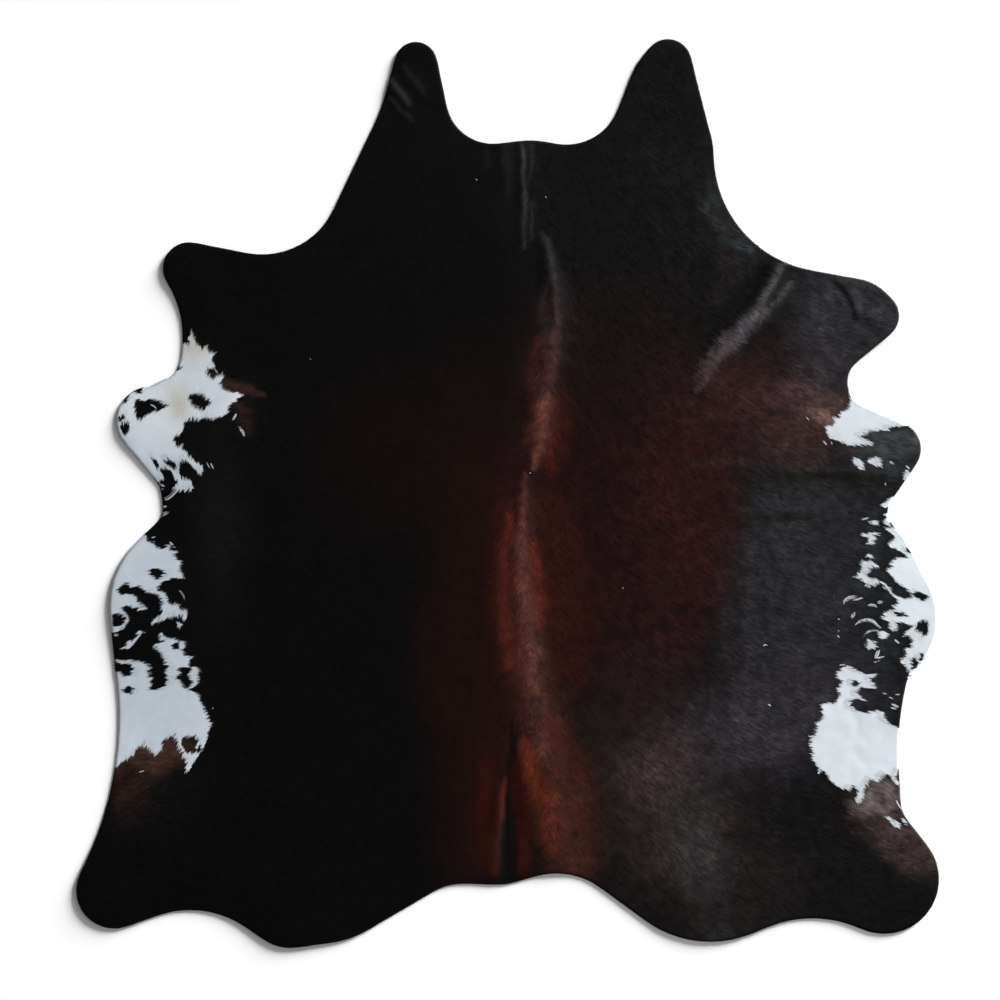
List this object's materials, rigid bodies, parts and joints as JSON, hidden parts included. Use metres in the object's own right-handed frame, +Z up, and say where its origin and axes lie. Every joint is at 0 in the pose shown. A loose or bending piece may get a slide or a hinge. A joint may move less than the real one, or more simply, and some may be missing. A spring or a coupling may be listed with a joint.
{
  "type": "cowhide rug",
  "caption": "Whole cattle hide with its hair on, used as a flat floor rug, cut to the skin's own uneven outline with neck points, legs, flanks and rump.",
  "frame": {"origin": "on the floor, under the middle of the hide's box", "axes": "+Z up from the flesh side to the hair side, +Y along the back towards the neck, +X to the right with the neck away from the viewer"},
  "size_m": [2.0856, 2.1978, 0.0116],
  "materials": {
    "cowhide": "short glossy hair lying flat, black with dark red along the back and white patches at the flanks"
  },
  "bodies": {
    "root": {"hide": "cowhide"}
  },
  "joints": []
}
